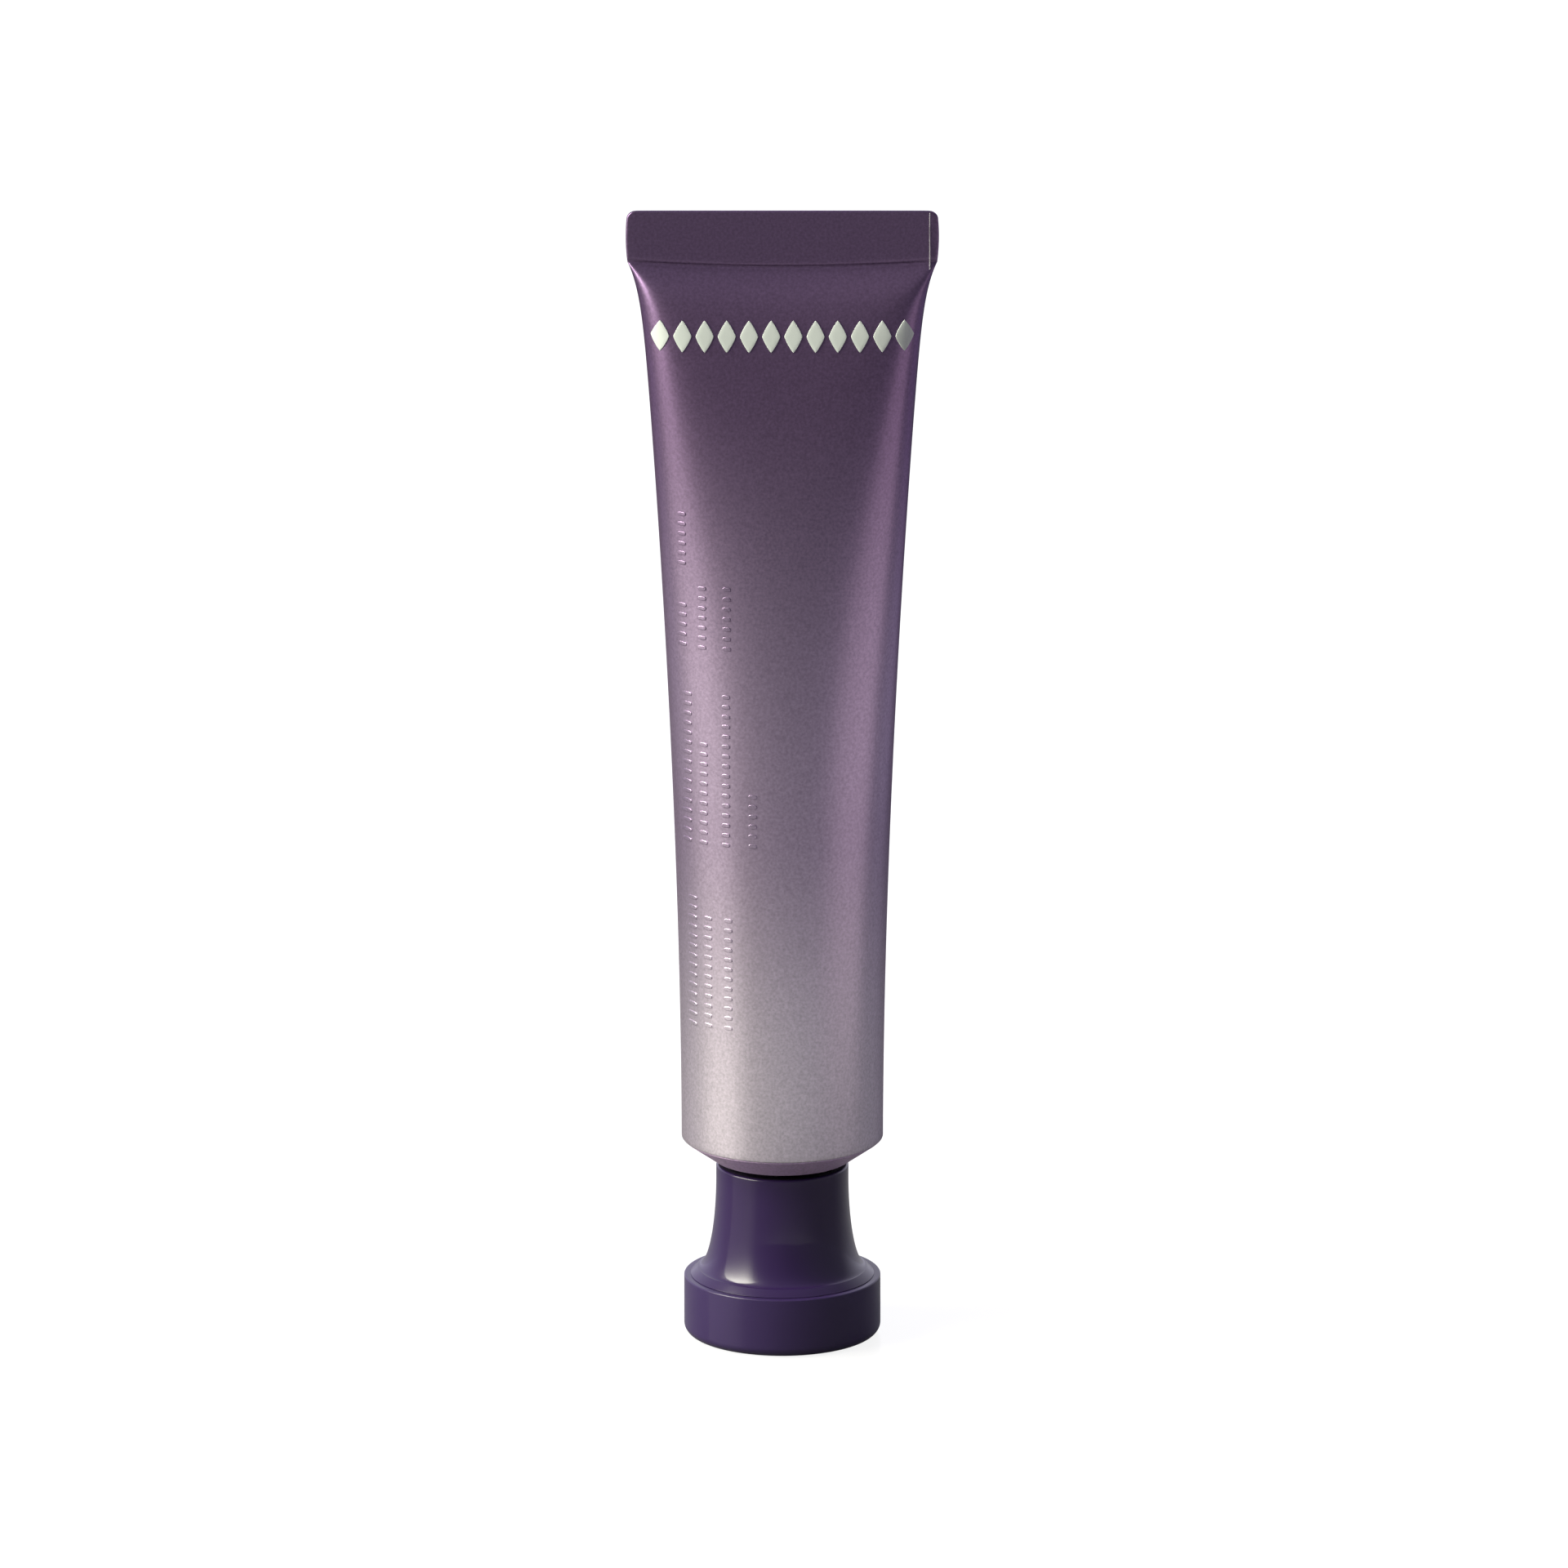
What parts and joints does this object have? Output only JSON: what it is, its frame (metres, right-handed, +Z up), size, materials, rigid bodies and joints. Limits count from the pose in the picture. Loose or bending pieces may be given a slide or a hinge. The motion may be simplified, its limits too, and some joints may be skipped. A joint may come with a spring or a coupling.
{
  "type": "hand cream tube",
  "caption": "Squeeze tube of cream with a flat welded top, standing head down on its flared screw cap, which unscrews from the threaded neck.",
  "frame": {"origin": "middle of the cap's underside, on the table", "axes": "+Z up along the tube from the cap to the welded end, X along the width of the welded end, -Y towards the front"},
  "size_m": [0.0432, 0.028, 0.1612],
  "materials": {
    "sleeve_laminate": "satin pearl, dark violet at the flat end fading to silvery lilac at the cap",
    "head_plastic": "glossy silvery lilac",
    "foil": "bright",
    "cap_plastic": "semi-gloss dark violet",
    "liner_foam": "matte white"
  },
  "bodies": {
    "cap": {"cap_stem": "cap_plastic", "cap_base": "cap_plastic"},
    "wad": {"cap_liner": "liner_foam"},
    "tube": {"tube_sleeve": "sleeve_laminate", "tube_head": "head_plastic", "nozzle_foil": "foil"}
  },
  "joints": [
    {"name": "cap_turn", "type": "hinge", "parent": "cap", "child": "wad", "pos_m": [0, 0, 0.0145], "axis": [0, 0, 1], "range_deg": [0, 1080]},
    {"name": "cap_travel", "type": "slide", "parent": "wad", "child": "tube", "axis": [0, 0, 1], "range_m": [0, 0.00751]}
  ],
  "couplings": [
    {"joint": "cap_travel", "follows": "cap_turn", "m_per_rad": 0.00039789}
  ]
}
